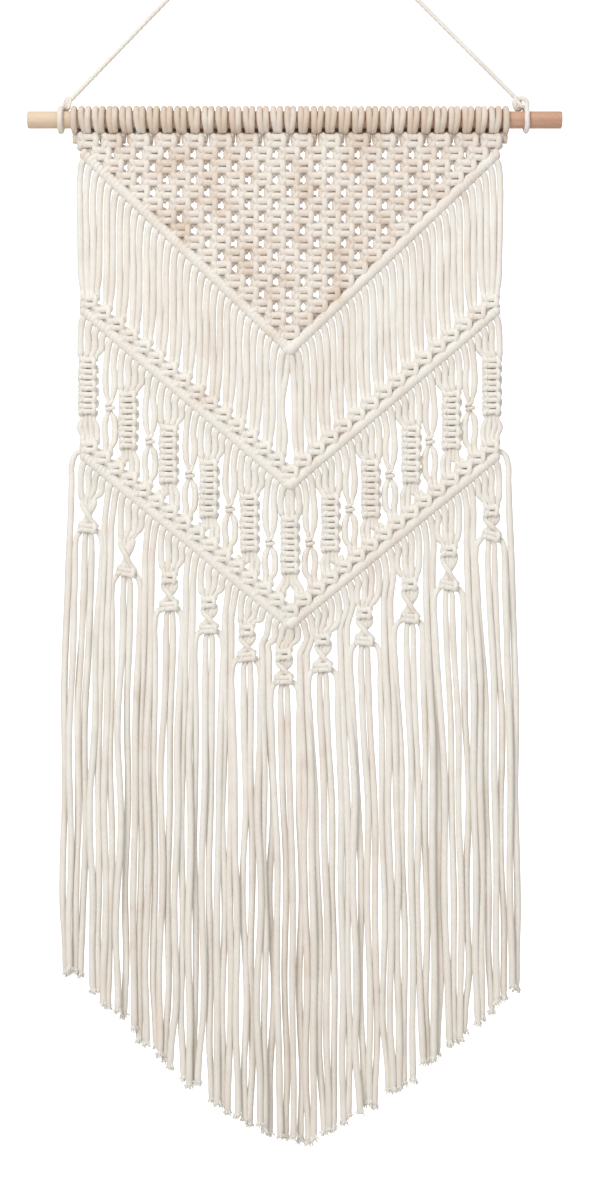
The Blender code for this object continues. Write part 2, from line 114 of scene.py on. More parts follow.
class Bundle:
    # the cords of one piece, gathered into one mesh

    def __init__(self, shade=(0.17, 1.0)):
        self.corners, self.faces, self.wraps, self.tones, self.count = [], [], [], [], 0
        self.shade = shade  # the range of its cords' tones, lower for a warmer cream; the lowest are a painted warm shade, for cords that lie tight

    def add(self, points, sides=None, lobes=None, tone=None):
        rings = smoothPath(points)
        sides = sides or cord["sides"]
        line = rings[:, :3]
        ahead = np.gradient(line, axis=0)
        ahead /= np.linalg.norm(ahead, axis=1)[:, None] + 1e-12
        # the way across is carried along the line, so that the cord doesn't turn by itself
        across = np.empty_like(line)
        seed = np.array([0.0, -1.0, 0.0]) if abs(ahead[0][1]) < 0.9 else np.array([1.0, 0.0, 0.0])
        across[0] = unit(seed - ahead[0] * (seed @ ahead[0]))
        for k in range(1, len(line)):
            across[k] = unit(across[k - 1] - ahead[k] * (across[k - 1] @ ahead[k]))
        aside = np.cross(ahead, across)
        along = np.concatenate([[0], np.cumsum(np.linalg.norm(np.diff(line, axis=0), axis=1))])
        angle = np.arange(sides) * 2 * math.pi / sides
        swell = np.ones((len(line), sides))
        if lobes:  # plies that show: (number, depth, length of one turn)
            number, depth, lay = lobes
            swell = 1 - depth + depth * np.abs(np.cos(
                number / 2 * (angle[None] - along[:, None] * 2 * math.pi / lay)))
        spokes = (across[:, None] * np.cos(angle)[None, :, None]
                  + aside[:, None] * np.sin(angle)[None, :, None])
        skin = line[:, None] + spokes * (rings[:, 3, None] * swell)[:, :, None]
        self.corners.append(skin.reshape(-1, 3))
        k, s = np.meshgrid(np.arange(len(line) - 1), np.arange(sides), indexing="ij")
        n = (s + 1) % sides
        quads = np.stack([k * sides + s, k * sides + n, (k + 1) * sides + n, (k + 1) * sides + s], -1)
        self.faces.extend((quads.reshape(-1, 4) + self.count).tolist())
        turn = 2 * math.pi * cord["nominal"]
        low, high = along[k] / turn, along[k + 1] / turn
        spots = (s / sides, low), ((s + 1) / sides, low), ((s + 1) / sides, high), (s / sides, high)
        self.wraps.append(np.stack([np.stack(spot, -1) for spot in spots], 2).reshape(-1, 2))
        for ring in (range(sides - 1, -1, -1), range((len(line) - 1) * sides, len(line) * sides)):
            self.faces.append([self.count + v for v in ring])
            self.wraps.append(np.zeros((sides, 2)))
        self.tones.append(np.full(len(line) * sides, dice.uniform(*self.shade) if tone is None else tone))
        self.count += len(line) * sides

    def tieOff(self, name, *nodes):
        mesh = bpy.data.meshes.new(name)
        mesh.from_pydata((np.vstack(self.corners) / 1000).tolist(), [], self.faces)
        uv = mesh.uv_layers.new(name="UVMap")
        uv.data.foreach_set("uv", np.vstack(self.wraps).astype(np.float32).ravel())
        tone = mesh.attributes.new("strandTone", "FLOAT", "POINT")
        tone.data.foreach_set("value", np.concatenate(self.tones).astype(np.float32))
        mesh.shade_smooth()
        mesh.materials.append(cotton)
        piece = addObject(name, mesh)
        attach(piece, "root")
        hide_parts(*nodes)
        print(name, sum(len(f) - 2 for f in self.faces), "triangles")
        return piece


def linear(hexColour):
    channels = [int(hexColour[k:k + 2], 16) / 255 for k in (1, 3, 5)]
    return [c / 12.92 if c <= 0.04045 else ((c + 0.055) / 1.055) ** 2.4 for c in channels] + [1.0]


def setSockets(tree, node, links, inputs):
    # a link comes from a socket, or from a node by its first output
    for key, value in inputs.items():
        node.inputs[key].default_value = value
    for key, source in links.items():
        output = source.outputs[0] if isinstance(source, bpy.types.Node) else source
        tree.links.new(output, node.inputs[key])


def addNode(tree, kind, links={}, inputs={}, **settings):
    # a colour Mix takes its share at 0 and its colours at 6 and 7, and gives its colour at 2
    node = tree.nodes.new("ShaderNode" + kind)
    for key, value in settings.items():
        setattr(node, key, value)
    setSockets(tree, node, links, inputs)
    return node


def shades(node, stops):
    ramp = node.color_ramp
    while len(ramp.elements) < len(stops):
        ramp.elements.new(0.5)
    for element, (place, colour) in zip(ramp.elements, stops):
        element.position, element.color = place, linear(colour)
    return node.outputs["Color"]


def startMaterial(name):
    material = bpy.data.materials.new(name)
    material.use_nodes = True
    tree = material.node_tree
    tree.nodes.clear()
    surface = addNode(tree, "BsdfPrincipled")
    addNode(tree, "OutputMaterial", {"Surface": surface})
    return material, tree, surface


tipTone = 2.0  # marks the yarns of a cut end, which are painted paler against the shade among them; a strand's own tone is below 1

cottonLook = {
    # the darkest, brownish cream is painted shade and painted light bounced off the wood, for cords that lie
    # tight
    "pale": "#F3EFE8", "cream": "#EFE9E0", "warm": "#EDE4DB", "cool": "#E9E5DC", "paintedShade": "#DDCBB9",
    "turn": 12.57,  # mm of cord in one unit of UV
    "lay": 14.0,  # mm of cord in one turn of its twist
    "plies": 3,
    "groove": 0.35,  # depth of the grooves between them, against the fibres' relief
    "fibre": 0.35,  # mm across one bundle of fibres, coarser than real so that it shows
    "bundles": 1.6,  # of fibres, one after another, in one unit of UV
    "mottle": 22.0,  # mm across a patch of uneven cream
    "tones": (0.45, -0.2),  # how far a strand's own tone tells, and where all of them start
    "greyBelow": "#D9CEC0",  # the cord turns a little greyer and darker towards the bottom, from here up to there in metres
    "ends": {"From Min": -0.98, "From Max": -0.62, "To Min": 0.72, "To Max": 1.0},
    "paintedTipLight": "#F8F5EF",  # painted light on the yarns of the untwisted ends, paler than the cord
}


def makeCotton():
    # Undyed cotton, softly spun and twisted: fully matt, with a pale fuzz that lightens its edges.
    # The fibres slant round the cord and each strand is a slightly different cream.
    # Where cords lie tight, in the heads and the knots, a warm painted shade darkens their cream.
    look = cottonLook
    material, tree, surface = startMaterial("softly twisted cotton")
    wrap = addNode(tree, "UVMap", uv_map="UVMap")
    parts = addNode(tree, "SeparateXYZ", {"Vector": wrap})
    slant = addNode(tree, "Math", {0: parts.outputs["Y"], 2: parts.outputs["X"]},
                    {1: look["turn"] / look["lay"]}, operation="MULTIPLY_ADD")
    spun = addNode(tree, "CombineXYZ", {"X": slant, "Y": parts.outputs["Y"]})
    stretched = addNode(tree, "Mapping", {"Vector": spun},
                        {"Scale": (look["turn"] / look["fibre"], look["bundles"], 1.0)})
    fibres = addNode(tree, "TexNoise", {"Vector": stretched},
                     {"Scale": 1.0, "Detail": 3.0, "Roughness": 0.6})
    plies = addNode(tree, "Math", {0: slant}, {1: look["plies"] * 2 * math.pi}, operation="MULTIPLY")
    groove = addNode(tree, "Math", {0: plies}, operation="SINE")
    place = addNode(tree, "TexCoord").outputs["Object"]
    mottle = addNode(tree, "TexNoise", {"Vector": place}, {"Scale": 1000 / look["mottle"], "Detail": 2.0})
    tone = addNode(tree, "Attribute", attribute_name="strandTone")
    mixed = addNode(tree, "Math", {0: tone.outputs["Fac"], 2: mottle},
                    {1: look["tones"][0]}, operation="MULTIPLY_ADD")
    shift = addNode(tree, "Math", {0: mixed}, {1: look["tones"][1]}, operation="ADD")
    # low tones run into the painted warm shade at the first stop
    creams = shades(addNode(tree, "ValToRGB", {"Fac": shift}),
                    [(0.0, look["paintedShade"]), (0.28, look["warm"]), (0.45, look["cream"]),
                     (0.65, look["pale"]), (0.95, look["cool"])])
    streak = addNode(tree, "MapRange", {"Value": fibres},
                     {"From Min": 0.3, "From Max": 0.7, "To Min": 0.90, "To Max": 1.0})
    colour = addNode(tree, "Mix", {6: creams, 7: streak}, {0: 1.0}, data_type="RGBA", blend_type="MULTIPLY")
    # the cord is darker and greyer towards the bottom
    height = addNode(tree, "SeparateXYZ", {"Vector": place})
    grey = addNode(tree, "MapRange", {"Value": height.outputs["Z"]}, look["ends"])
    greyed = addNode(tree, "Mix", {0: grey, 7: colour.outputs[2]}, {6: linear(look["greyBelow"])},
                   data_type="RGBA")
    # painted light: the yarns of the cut ends are paler, to lift the shade among them
    cut = addNode(tree, "MapRange", {"Value": tone.outputs["Fac"]}, {"From Min": 1.0, "From Max": tipTone})
    whole = addNode(tree, "Mix", {0: cut, 6: greyed.outputs[2]}, {7: linear(look["paintedTipLight"])}, data_type="RGBA")
    relief = addNode(tree, "Math", {0: groove, 2: fibres}, {1: look["groove"]}, operation="MULTIPLY_ADD")
    bump = addNode(tree, "Bump", {"Height": relief}, {"Strength": 0.35, "Distance": 0.0005})
    setSockets(tree, surface, {"Base Color": whole.outputs[2], "Normal": bump},
               {"Roughness": 0.95, "IOR": 1.45, "Specular IOR Level": 0.2, "Sheen Weight": 0.25,
                "Sheen Roughness": 0.6})
    return material


beechLook = {
    "pale": "#E2C3A6", "honey": "#D5AE8E", "deep": "#C49A7B", "fleck": "#AE8264",
    "grain": 1.4,  # mm between growth lines
    "run": 60.0,  # mm that a line keeps its place
    "flecks": (3.0, 0.5),  # mm along and across the short dark rays of beech
    "ends": ("#E4DEC9", "#AC7B6D"),  # the dowel's left end is painted paler, as if lit, and its right end browner, in painted shade
    "share": 0.42,  # how far these colours show
}


def makeBeech():
    # Beech, turned and sanded, with no varnish: pale honey lines along it and short darker flecks.
    look = beechLook
    material, tree, surface = startMaterial("sanded beech")
    place = addNode(tree, "TexCoord").outputs["Object"]
    lines = addNode(tree, "Mapping", {"Vector": place},
                    {"Scale": (1000 / look["run"], 1000 / look["grain"] / 2, 1000 / look["grain"] / 2)})
    grain = addNode(tree, "TexNoise", {"Vector": lines},
                    {"Scale": 1.0, "Detail": 4.0, "Roughness": 0.55, "Distortion": 0.3})
    honey = shades(addNode(tree, "ValToRGB", {"Fac": grain}),
                   [(0.3, look["pale"]), (0.5, look["honey"]), (0.72, look["deep"])])
    length, width = look["flecks"]
    rays = addNode(tree, "Mapping", {"Vector": place}, {"Scale": (1000 / length, 1000 / width, 1000 / width)})
    spots = addNode(tree, "TexNoise", {"Vector": rays}, {"Scale": 1.0, "Detail": 1.0})
    sharp = addNode(tree, "MapRange", {"Value": spots}, {"From Min": 0.60, "From Max": 0.68, "To Max": 0.6})
    flecked = addNode(tree, "Mix", {0: sharp, 6: honey}, {7: linear(look["fleck"])}, data_type="RGBA")
    across = addNode(tree, "SeparateXYZ", {"Vector": place})
    # painted light along the dowel: paler to the left, where the light comes from, darker to the right
    reach = dowel["length"] / 2000
    along = addNode(tree, "MapRange", {"Value": across.outputs["X"]},
                    {"From Min": dowel["x"] / 1000 - reach, "From Max": dowel["x"] / 1000 + reach})
    ends = shades(addNode(tree, "ValToRGB", {"Fac": along}),
                  [(0.05, look["ends"][0]), (0.95, look["ends"][1])])
    whole = addNode(tree, "Mix", {6: flecked.outputs[2], 7: ends}, {0: look["share"]}, data_type="RGBA")
    bump = addNode(tree, "Bump", {"Height": grain}, {"Strength": 0.25, "Distance": 0.0003})
    setSockets(tree, surface, {"Base Color": whole.outputs[2], "Normal": bump},
               {"Roughness": 0.52, "IOR": 1.5})
    return material


placeCamera()
cotton = makeCotton()
beech = makeBeech()
print("materials made")


hanger = {
    "diameter": 4.0,
    "bendRadius": 9.0,
    "bendSteps": 4,
    "spacing": 11.5,
    "ringStep": 1.2,  # close, so that the plies turn smoothly
    "clearance": 0.3,
    "plies": (2, 0.26, 9.5),  # number, depth as a share of the radius, mm in one turn
    "hitchPlies": (3, 0.08, 14.0),
    "sides": 12,
    "ring": 8.35,  # radius of the turn round the dowel
    "turn": (25, 336, 31),  # its degrees from the top of the dowel, over the front
    "neck": 1.9,  # radius of the cord where it enters its knot
    "uneven": 0.15,
    "knots": [  # the knot's middle and size, and its turn round the dowel
        {"side": -1, "x": -165.2, "z": -165.5, "width": 6.6, "height": 8.8, "ringX": -169.5, "ringCord": 2.2,
         "into": [(-163.2, -0.4, -162.6, 2.0), (-164.3, -1.3, -163.0, 2.2), (-164.5, -1.4, -165.6, 2.25),
                  (-164.4, -0.2, -168.4, 2.0), (-165.0, 1.4, -169.4, 1.8), (-166.6, 1.2, -168.9, 1.9)],
         "out": [(-168.2, 3.6, -168.0, 1.8), (-166.6, 2.4, -164.4, 1.7), (-165.4, 0.8, -161.9, 1.6),
                 (-163.4, -0.8, -161.4, 1.5), (-162.4, -1.8, -164.6, 1.35), (-163.0, -3.1, -168.2, 1.3),
                 (-163.3, -4.0, -170.4, 1.2)]},
        {"side": 1, "x": 171.6, "z": -165.5, "width": 10.8, "height": 9.6, "ringX": 174.7, "ringCord": 1.95,
         "into": [(167.0, -0.6, -162.4, 2.0), (166.2, -1.2, -164.6, 2.1), (166.2, -1.3, -167.4, 2.0),
                  (167.6, 0.0, -169.4, 1.8), (170.6, 1.9, -168.8, 1.7), (170.6, 2.2, -164.4, 1.7),
                  (169.0, 0.4, -162.0, 1.8), (171.6, -1.0, -161.8, 1.9), (174.2, -1.3, -163.0, 1.95),
                  (175.3, -1.1, -165.4, 1.95), (175.2, -1.4, -167.8, 1.95)],
         "out": [(173.6, 3.0, -168.4, 1.8), (173.2, -0.2, -167.8, 1.7), (171.8, -2.0, -168.2, 1.7),
                 (169.7, -2.4, -166.6, 1.65), (168.3, -1.6, -164.2, 1.5), (168.4, 0.4, -163.2, 1.3)]},
    ],
}


def hangerRoute():
    # two straight runs from the knots, joined by a bend over a nail at the origin
    bend = hanger["bendRadius"]
    crown = np.array([0.0, hanger["diameter"] / 2 - bend])

    def onBend(angle):
        return crown + bend * np.array([math.cos(angle), math.sin(angle)])

    runs, angles = [], []
    for knot in hanger["knots"]:
        middle = np.array([knot["x"], knot["z"]])
        line = unit(crown - middle)
        radius = 1 / math.hypot(2 * line[0] / knot["width"], 2 * line[1] / knot["height"])
        foot = middle + line * (radius + hanger["clearance"])
        reach = foot - crown
        tangent = math.acos(bend / np.linalg.norm(reach))
        angle = math.atan2(reach[1], reach[0]) + knot["side"] * tangent
        angle += 2 * math.pi if knot["side"] < 0 else 0
        touch = onBend(angle)
        steps = round(np.linalg.norm(foot - touch) / hanger["spacing"])
        runs.append([foot + (touch - foot) * k / steps for k in range(steps + 1)])
        angles.append(angle)
    count = hanger["bendSteps"]
    arc = [onBend(angles[0] + (angles[1] - angles[0]) * k / count) for k in range(1, count)]
    return runs[0] + arc + runs[1][::-1]


def tieHanger():
    route = [(x, 0.0, z, hanger["diameter"] / 2) for x, z in hangerRoute()]
    fine = smoothPath(route)
    dense = [tuple(fine[0])]
    for a, b in zip(fine[:-1], fine[1:]):
        count = max(1, round(np.linalg.norm(b[:3] - a[:3]) / hanger["ringStep"]))
        dense += [tuple(a + (b - a) * k / count) for k in range(1, count + 1)]
    rope = Bundle()
    rope.add(dense, sides=hanger["sides"], lobes=hanger["plies"])
    piece = rope.tieOff("hanger_rope", "hanger_cord")
    return route


def tieHitch(knot, foot):
    # the cord comes down into the knot, goes once round the dowel and is tucked through itself
    points = [(foot[0], 0.0, foot[2], hanger["neck"])] + knot["into"]
    for turn in range(*hanger["turn"]):
        a = math.radians(turn)
        aside = dice.uniform(-hanger["uneven"], hanger["uneven"])
        points.append((knot["ringX"] + aside, -hanger["ring"] * math.sin(a),
                       dowel["z"] + hanger["ring"] * math.cos(a), knot["ringCord"]))
    loop = Bundle()
    loop.add(points + knot["out"], sides=cord["roundSides"], lobes=hanger["hitchPlies"])
    return loop


route = tieHanger()
for knot, foot, side in zip(hanger["knots"], (route[0], route[-1]), ("left", "right")):
    tieHitch(knot, foot).tieOff(side + "_hitch", "hanger_hitch_" + side)

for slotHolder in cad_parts["dowel"].material_slots:
    slotHolder.material = beech
print("hanger and dowel made")


heading = {
    # the heads' low tones paint in the warm shade and the wood's bounced light between their turns
    "shade": (-0.8, -0.35),
    "pitch": 10.1,
    "wrap": 5.5,  # between the two turns of one head; those of neighbours nearly touch
    "reach": 8.3,
    "cord": 2.32,
    "pinch": (0.2, 1.7),  # how far a turn leans out under the dowel; the one nearer the middle more
    "uneven": (-0.25, 0.25), "unevenPinch": (-0.2, 0.2), "bottom": (-0.3, 0.5),
    # behind, the tails lie evenly spaced and leave no light between the heads
    "evenly": 0.25,  # share of the pitch from the head's middle
    "tails": [(3.0, 16.4, 2.1), (3.6, 12.4, 2.5), (5.2, 9.0, 2.5)],  # back, down, radius
    "turn": (190, -100, -29),  # degrees: 180 is under the dowel, 90 in front, 0 on top
    "sinks": (100, 195),  # between these degrees some turns sag by their bottom
    "loop": [(-1.0, 8.2, 3.0), (-2.1, 6.6, 6.4), (-1.2, 5.6, 8.2)],  # out, back, down behind it
    "loopCord": 2.0,
}


def headX(strand):
    middle = (strand // 2 - middleHead) * heading["pitch"]
    return middle + (heading["wrap"] / 2 if strand % 2 else -heading["wrap"] / 2)


def tieHeading():
    row = Bundle(heading["shade"])
    r, reach = heading["cord"], heading["reach"]
    for head in range(heads):
        sway, lean = dice.uniform(*heading["uneven"]), dice.uniform(*heading["uneven"])
        bottom = dice.uniform(*heading["bottom"])
        points = []
        for half, outward in enumerate((-1, 1)):
            x = headX(2 * head + half) + sway
            nearer = (head < middleHead) == (half == 1)
            pinch = outward * heading["pinch"][nearer] + dice.uniform(*heading["unevenPinch"])
            even = (head - middleHead) * heading["pitch"] + outward * heading["evenly"] * heading["pitch"]
            side = [(even, back, dowel["z"] - down, radius) for back, down, radius in heading["tails"]]
            for turn in range(*heading["turn"]):
                a = math.radians(turn)
                sink = bottom if heading["sinks"][0] < turn < heading["sinks"][1] else 0
                side.append((x + pinch * max(0, -math.cos(a)) + lean * math.cos(a),
                             -reach * math.sin(a), dowel["z"] + reach * math.cos(a) - sink, r))
            for out, back, down in heading["loop"]:
                side.append((x + out * outward, back, dowel["z"] - down, heading["loopCord"]))
            points = side if half == 0 else points + side[::-1]
        row.add(points, sides=cord["roundSides"])
    row.tieOff("lark_heads", "lark_head_row")


tieHeading()
print("heading tied")


squareKnot = {
    # each strand's way through the upper half, from left to right, which the lower half mirrors:
    # shares of the half width, cord radius and height. The right cord crosses the front twice with
    # a turn at the left, and the left cord loops over it at the right.
    "ways": [
        [(-0.96, -0.7, 0.42), (-0.84, -2.2, 0.33), (-0.58, -1.9, 0.10), (-0.36, -0.2, 0.04),
         (0.0, 1.7, 0.12), (0.50, 0.4, 0.36), (0.70, -1.7, 0.37), (0.80, -2.5, 0.17)],
        [(-0.27, 0, 0.5), (-0.27, 0.1, 0.2)],
        [(0.27, 0, 0.5), (0.27, 0.1, 0.2)],
        [(1.00, -0.2, 0.30), (0.80, -1.2, 0.26), (0.30, -1.9, 0.235), (-0.20, -2.0, 0.235),
         (-0.66, -1.5, 0.27), (-0.98, -0.8, 0.11)]],
    "cords": (0.97, 1.0, 1.0, 1.04),  # how thick each is pulled
    "entries": (-0.96, -0.27, 0.27, 0.98),  # where each comes in
    "slack": 0.05,
    "tilt": 3.0,  # degrees
}


def meet(paths, strand, x, z, radius=None, back=0.0):
    paths[strand].append((x, cord["clothY"] + back, z, radius or cord["radius"]))


def tieSquare(paths, strands, x, z, knot, tilt=0.0):
    loose = [1 + dice.uniform(-1, 1) * squareKnot["slack"] for _ in range(3)]
    lean = math.radians(tilt + dice.uniform(-squareKnot["tilt"], squareKnot["tilt"]))
    across, up = knot["halfWidth"] * loose[0], knot["height"] * loose[1]
    deep = knot["tied"] * loose[2] * knot.get("proud", 1.0)
    for strand, way, thick in zip(strands, squareKnot["ways"], squareKnot["cords"]):
        for px, py, pz in way + [(px, py, -pz) for px, py, pz in way[::-1]]:
            dx, dz = px * across, pz * up
            meet(paths, strand, x + dx * math.cos(lean) + dz * math.sin(lean),
                 z - dx * math.sin(lean) + dz * math.cos(lean), knot["tied"] * thick,
                 knot.get("back", 0.0) + py * deep)


bars = {
    "first": {"edge": -201.0, "apex": -347.8, "halfWidth": 154.7, "thick": 8.8},
    "second": {"edge": -318.0, "apex": -447.7, "halfWidth": 153.5, "thick": 8.6},
    "third": {"edge": -423.0, "apex": -550.6, "halfWidth": 156.3, "thick": 8.6},
    "pitch": 4.94,
    "inset": 4.4,  # a strand is hitched this far nearer the middle than it hangs
    "proud": 2.4,  # a bar stands this far in front of the cloth
    "hitch": 3.35,  # along the bar, from one turn of a hitch to the next
    "lead": 0.75,  # turns from a hitch's start to its middle
    "turns": (-25, 550, 12),  # degrees at its start and end, steps between them
    "turn": 2.85,  # radius of the cord in a hitch, pressed wide so that the turns merge
    "tightness": (0.98, 1.03),
    "deep": 1.05,  # a bar is this much deeper than tall
    "entry": (6.0, 3.6, 1.7),  # up from its middle, back from it, radius
    "exit": [(2.4, 0.2, 2.5), (5.4, 0.7, 2.75)],  # down from its middle, back from it, radius
    "bend": (6.8, 2.4, 0.8, 1.06),  # across the bar, then straight down, forward, share of radius
    "free": (10.0, 0.2),  # down from the bend to a strand's own place, and how uneven that is
    "cores": {-1: 3.95, 1: 4.1},  # fills the grooves between the turns; the left sides show more
    "coreRun": (2.5, 6.0, 8),  # from the edge, to the middle, points
    "coreEnds": {-1: (1.0, 0.0), 1: (-2.4, 1.3)},  # how far from the middle and forward
    "coreTaper": [(0.5, 1.0), (0.85, 0.95), (1.0, 0.6)],  # shares of the way and radius
    "coreStart": 0.7,
    "coreSides": 12,
}


def strandX(strand, pitch=None):
    return (strand - middleStrand) * (pitch or bars["pitch"])


def sideOf(strand):
    return -1 if strand < middleStrand else 1


def chevronZ(bar, x):
    return bar["apex"] + (bar["edge"] - bar["apex"]) * abs(x) / bar["halfWidth"]


def barFrame(bar, strand):
    # the middle of this strand's hitch, the way along the bar to its apex, and the way up from it
    side = sideOf(strand)
    rise = (bar["edge"] - bar["apex"]) / bar["halfWidth"]
    along = unit(np.array([-side, -rise]))
    up = np.array([-along[1] * -side, along[0] * -side])
    x = strandX(strand) - side * bars["inset"]
    return np.array([x, chevronZ(bar, x)]), along, up


def hitchOn(path, strand, bar):
    # a double half hitch: two turns over the front of the cord that runs in the bar
    middle, along, up = barFrame(bar, strand)
    rise, back, radius = bars["entry"]
    front = cord["clothY"] - bars["proud"]
    spot = middle - along * bars["lead"] * bars["hitch"] + up * rise
    path.append((spot[0], front + back, spot[1], radius))
    tied = bars["turn"] * dice.uniform(*bars["tightness"])
    reach = bar["thick"] / 2 - tied
    first, last, steps = bars["turns"]
    for k in range(steps + 1):
        turn = math.radians(first + (last - first) * k / steps)
        shift = (turn / (2 * math.pi) - bars["lead"]) * bars["hitch"]
        spot = middle + along * shift + up * reach * math.cos(turn)
        path.append((spot[0], front - reach * bars["deep"] * math.sin(turn), spot[1], tied))


def leaveBar(paths, strand, bar, free=True):
    # the strand comes out from under the bar, square to it, and turns down
    middle, along, up = barFrame(bar, strand)
    start = middle + along * bars["hitch"] / 2
    for down, back, radius in bars["exit"]:
        spot = start - up * down
        meet(paths, strand, spot[0], spot[1], radius, back - bars["proud"])
    across, down, forward, thick = bars["bend"]
    bend = start - up * across + np.array([0.0, -down])
    meet(paths, strand, bend[0], bend[1], cord["radius"] * thick, -forward)
    if free:
        further, uneven = bars["free"]
        meet(paths, strand, strandX(strand) + dice.uniform(-uneven, uneven), bend[1] - further)


def layCore(bundle, bar):
    # the cord inside each side of a bar; the right one ends in front, just past the point
    y = cord["clothY"] - bars["proud"]
    slope = (bar["edge"] - bar["apex"]) / bar["halfWidth"]
    inset, stop, count = bars["coreRun"]
    for side, core in bars["cores"].items():
        points = [(side * x, y, bar["apex"] + slope * x, core)
                  for x in np.linspace(bar["halfWidth"] - inset, stop, count)]
        points[0] = points[0][:3] + (core * bars["coreStart"],)
        reach, front = bars["coreEnds"][side]
        for share, thick in bars["coreTaper"]:
            x = stop + (reach - stop) * share
            points.append((side * x, y - front, bar["apex"] + slope * x, core * thick))
        bundle.add(points, sides=bars["coreSides"])


net = {
    # low tones paint in the warm shade of these tight knots, and a little of it on the first bar
    "shade": (-0.16, 0.04), "barShade": (-0.05, 0.5),
    "rows": 16, "pitch": 20.2, "drop": 9.4, "top": -193.5,
    "halfWidth": 6.6, "height": 11.3, "tied": 2.47,
    "proud": 0.84,  # these knots are pressed a little flat
    "corner": (2.6, 2.2, 1.2),  # the outer knots of the first rows are drawn in this far
    "back": 0.8,
    "root": (-186.0, 1.7, 2.5),  # z, radius and way back where a strand leaves its head
    "spread": 1.1,  # of the strands above the first row, against their places in its knots
    "between": (1.12, 0.2),  # thicker and further back between two knots
    "uneven": (0.3, 0.25),
}


def tieNet():
    paths = [[] for _ in allStrands]
    top, radius, back = net["root"]
    for strand in allStrands:
        meet(paths, strand, headX(strand), top, radius, back)
    thick, back = net["between"]
    aside, height = net["uneven"]
    for row in range(net["rows"]):
        z = net["top"] - row * net["drop"]
        last = net["rows"] - 1 - row
        for place in range(last + 1):
            x = (place - last / 2) * net["pitch"]
            if row < len(net["corner"]) and place in (0, last):
                x -= math.copysign(net["corner"][row], x)
            first = 2 * row + 4 * place
            for k in range(4):
                entry = squareKnot["entries"][k] * net["halfWidth"]
                if row == 0:
                    meet(paths, first + k, x + entry * net["spread"], z + net["drop"] / 2, net["tied"])
                else:  # half way from the knot above, which is half a pitch to one side
                    other = squareKnot["entries"][(k + 2) % 4] * net["halfWidth"]
                    other += -net["pitch"] / 2 if k < 2 else net["pitch"] / 2
                    meet(paths, first + k, x + (entry + other) / 2, z + net["drop"] / 2,
                         net["tied"] * thick, back)
            tieSquare(paths, range(first, first + 4), x + dice.uniform(-aside, aside),
                      z + dice.uniform(-height, height), net)
    knots, barBundle = Bundle(net["shade"]), Bundle(net["barShade"])
    for strand in allStrands:
        knots.add(paths[strand])
        hitch = [paths[strand][-1]]
        hitchOn(hitch, strand, bars["first"])
        barBundle.add(hitch)
    layCore(barBundle, bars["first"])
    knots.tieOff("net_knots", "net_panel")
    barBundle.tieOff("first_bar", "net_panel")


tieNet()
print("net tied")


chain = {
    "halfWidth": 5.4, "height": 10.2, "tied": 2.18, "proud": 0.85, "back": -0.8,
    "knots": 15,  # on each side of the one in the middle
    "step": 9.88, "lift": 9.9,
    "middle": {"halfWidth": 5.8, "back": -1.0}, "middleLift": 8.9,
    "above": 2.5,  # over its first knot, where a strand is in its place
}


def tieChain(paths, bar):
    # a row of knots down each side, each with two new strands, and one at the point
    for n in range(chain["knots"]):
        for side in (-1, 1):
            x = side * (chain["knots"] - n) * chain["step"]
            strands = [2 * n + k for k in range(4)]
            if side > 0:
                strands = [lastStrand - s for s in strands[::-1]]
            tieSquare(paths, strands, x, chevronZ(bar, x) + chain["lift"], chain)
    first = 2 * chain["knots"]
    tieSquare(paths, range(first, first + 4), 0.0, bar["apex"] + chain["middleLift"],
              chain | chain["middle"])


def chainEntry(bar, strand):
    # where a strand comes down into its first knot over a bar
    side = sideOf(strand)
    place = min(strand, lastStrand - strand)
    knot = max(0, place // 2 - 1)
    x = side * (chain["knots"] - knot) * chain["step"]
    z = chevronZ(bar, x) + chain["lift"] + chain["height"] / 2 + chain["above"]
    return x - side * squareKnot["entries"][place - 2 * knot] * chain["halfWidth"], z


def closeBand(paths, bar, name, node):
    # the knots and the bar that a band ends in
    tieChain(paths, bar)
    band = Bundle()
    for strand in allStrands:
        hitchOn(paths[strand], strand, bar)
        band.add(paths[strand])
    layCore(band, bar)
    band.tieOff(name, node)


freeRun = {
    "spacing": 24.0,
    "uneven": (0.12, 0.5, 0.04),  # sideways, to the back, share of the radius
    # strands that come together above a knot: shares of the way down and across
    "close": [(0.5, 0.25)],
    "slow": [(0.4, 0.0), (0.72, 0.18), (0.92, 0.72)],
    "near": 16.0,  # under this drop they come together at once
    "bow": (-0.9, 0.0, 0.0, 0.9),  # the outer two curve outward
    "neck": (0.5, 1.9),  # above the knot, radius
}


def gather(paths, strands, x, top, reach):
    # free strands come together above a knot, the outer ones in a slow curve
    above, radius = freeRun["neck"]
    for k, strand in enumerate(strands):
        start = paths[strand][-1]
        goal = x + reach * squareKnot["entries"][k]
        for share, blend in freeRun["close"] if start[2] - top < freeRun["near"] else freeRun["slow"]:
            meet(paths, strand, start[0] + (goal - start[0]) * blend + freeRun["bow"][k] * (1 - blend),
                 start[2] + (top - start[2]) * share)
        meet(paths, strand, goal, top + above, radius)


def hangTo(paths, strand, x, z, sag=0.0, late=1):
    # a free run down to (x, z), not quite straight; it may keep its own place until late
    last = paths[strand][-1]
    drop = last[2] - z
    count = max(1, int(drop // freeRun["spacing"]))
    for k in range(1, count + 1):
        share = k / count
        aside, back, swell = [(k < count) * dice.uniform(-most, most) for most in freeRun["uneven"]]
        meet(paths, strand, last[0] + (x - last[0]) * share**late + sag * math.sin(math.pi * share) + aside,
             last[2] - drop * share, cord["radius"] * (1 + swell), back)


upper = {
    "sags": {31: -3.4, 32: 1.0},  # the two middle strands hang apart
    "aside": 0.6,  # share of the way across that a strand takes before its knot
    "late": 3,  # the higher, the later it goes
    "above": 7.0,  # where it ends its free run, over the start of its knot
}


